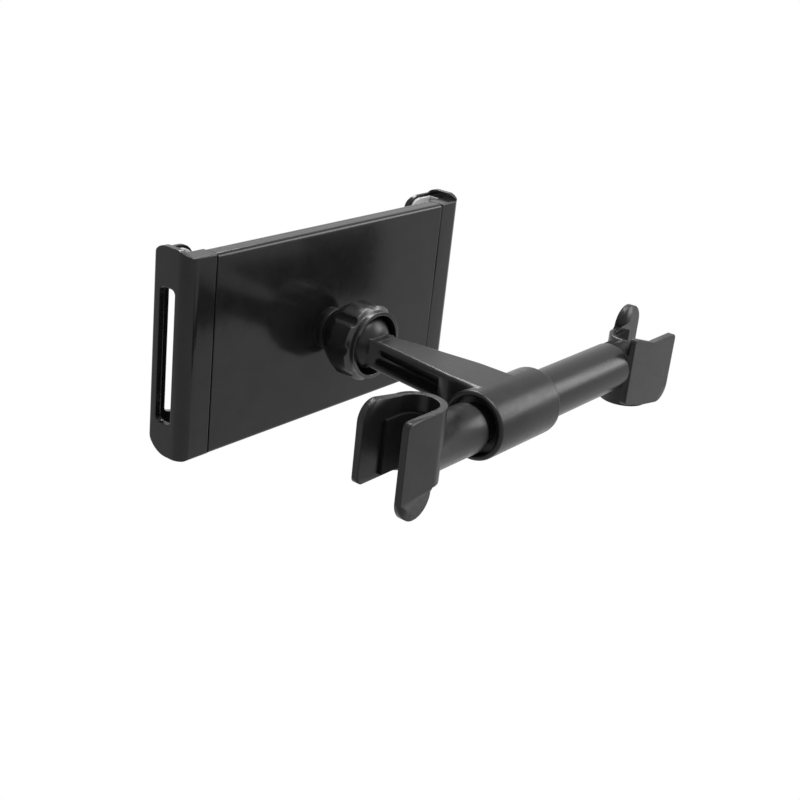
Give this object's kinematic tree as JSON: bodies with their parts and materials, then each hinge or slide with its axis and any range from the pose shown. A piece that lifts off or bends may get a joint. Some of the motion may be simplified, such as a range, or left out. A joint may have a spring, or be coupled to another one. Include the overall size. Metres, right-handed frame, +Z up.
{
  "type": "car headrest tablet holder",
  "caption": "Tablet holder for a car headrest: sprung-jaw cradle on a locking ball joint, T-arm and telescopic bar with a hook for each headrest post.",
  "frame": {"origin": "on the axis of the headrest post in the fixed (right) hook, at the height of the bar's axis", "axes": "+X outward along the bar at the fixed hook, +Y from the bar to the cradle, +Z up along the posts"},
  "size_m": [0.1937, 0.1105, 0.08],
  "materials": {
    "housing": "fine-textured black moulding",
    "arm_black": "satin black moulding",
    "tube_black": "satin black drawn tube",
    "inner_black": "plain dark moulding",
    "acetal": "natural low-friction moulding",
    "black_rubber": "matte",
    "grey_rubber": "matte, light grey",
    "steel": "zinc-plated"
  },
  "bodies": {
    "bar": {"arm": "arm_black", "main_tube": "tube_black", "right_hook": "arm_black", "right_hook_liner": "black_rubber", "rod_bush": "acetal", "bar_screws": "steel"},
    "sliding_hook": {"left_hook": "arm_black", "left_hook_liner": "black_rubber", "slide_rod": "tube_black", "rod_shoe": "acetal", "rod_screw": "steel"},
    "nut": {"locking_nut": "arm_black"},
    "cup": {"seat_cup": "acetal"},
    "ring": {"grip_ring": "acetal"},
    "cradle": {"ball_stud": "arm_black", "stud_screws": "steel", "rear_cover": "housing", "front_cover": "housing", "cover_screws": "steel", "front_pads": "black_rubber", "pinion_pin": "steel", "left_spring": "steel", "right_spring": "steel"},
    "left_clamp": {"left_jaw": "housing", "left_jaw_pad": "grey_rubber", "left_jaw_screws": "steel", "left_slide": "inner_black"},
    "right_clamp": {"right_jaw": "housing", "right_jaw_pad": "grey_rubber", "right_jaw_screws": "steel", "right_slide": "inner_black"},
    "gear": {"pinion": "acetal"}
  },
  "joints": [
    {"name": "hook_slide", "type": "slide", "parent": "bar", "child": "sliding_hook", "axis": [-1, 0, 0], "range_m": [0, 0.036]},
    {"name": "nut_turn", "type": "hinge", "parent": "bar", "child": "nut", "pos_m": [-0.097, 0.067, 0.00905], "axis": [0, 1, 0], "range_deg": [0, 180]},
    {"name": "ball_pan", "type": "hinge", "parent": "bar", "child": "cup", "pos_m": [-0.097, 0.067, 0.00905], "axis": [0, 0, 1], "range_deg": [-12, 12]},
    {"name": "ball_tilt", "type": "hinge", "parent": "cup", "child": "ring", "pos_m": [-0.097, 0.067, 0.00905], "axis": [1, 0, 0], "range_deg": [-12, 12]},
    {"name": "ball_spin", "type": "hinge", "parent": "ring", "child": "cradle", "pos_m": [-0.097, 0.067, 0.00905], "axis": [0, 1, 0], "continuous": true},
    {"name": "left_jaw_slide", "type": "slide", "parent": "cradle", "child": "left_clamp", "axis": [-1, 0, 0], "range_m": [0, 0.044], "stiffness_N_per_m": 60, "springref_m": -0.05, "deforming": ["left_spring"]},
    {"name": "right_jaw_slide", "type": "slide", "parent": "cradle", "child": "right_clamp", "axis": [1, 0, 0], "range_m": [0, 0.044], "deforming": ["right_spring"]},
    {"name": "pinion_spin", "type": "hinge", "parent": "cradle", "child": "gear", "pos_m": [-0.097, 0.08, 0.01205], "axis": [0, 1, 0], "range_deg": [-421, 0]}
  ],
  "couplings": [
    {"joint": "right_jaw_slide", "follows": "left_jaw_slide", "ratio": 1},
    {"joint": "pinion_spin", "follows": "left_jaw_slide", "rad_per_m": -166.67}
  ]
}
